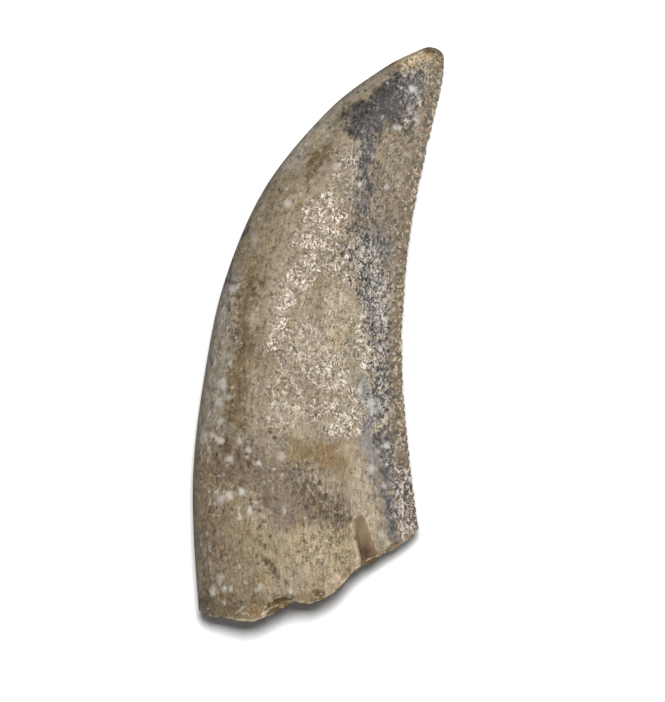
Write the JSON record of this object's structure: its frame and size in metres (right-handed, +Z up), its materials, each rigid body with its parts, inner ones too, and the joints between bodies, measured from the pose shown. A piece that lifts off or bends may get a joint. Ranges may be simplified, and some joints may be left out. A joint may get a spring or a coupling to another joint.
{
  "type": "fossil theropod tooth",
  "caption": "Curved, flattened fossil tooth crown with a finely serrated rear edge and a broken base, lying on its side.",
  "frame": {"origin": "middle of the bounding box's underside, in the plane the tooth lies on", "axes": "+X towards the serrated rear edge, +Y from the broken base towards the tip, +Z up, through the tooth's flattened thickness"},
  "size_m": [0.0133, 0.03, 0.007],
  "materials": {
    "fossil_enamel": "glossy mottled tan, brown and blue-grey fossil enamel, finely pitted and streaked along the crown"
  },
  "bodies": {
    "root": {"tooth": "fossil_enamel"}
  },
  "joints": []
}
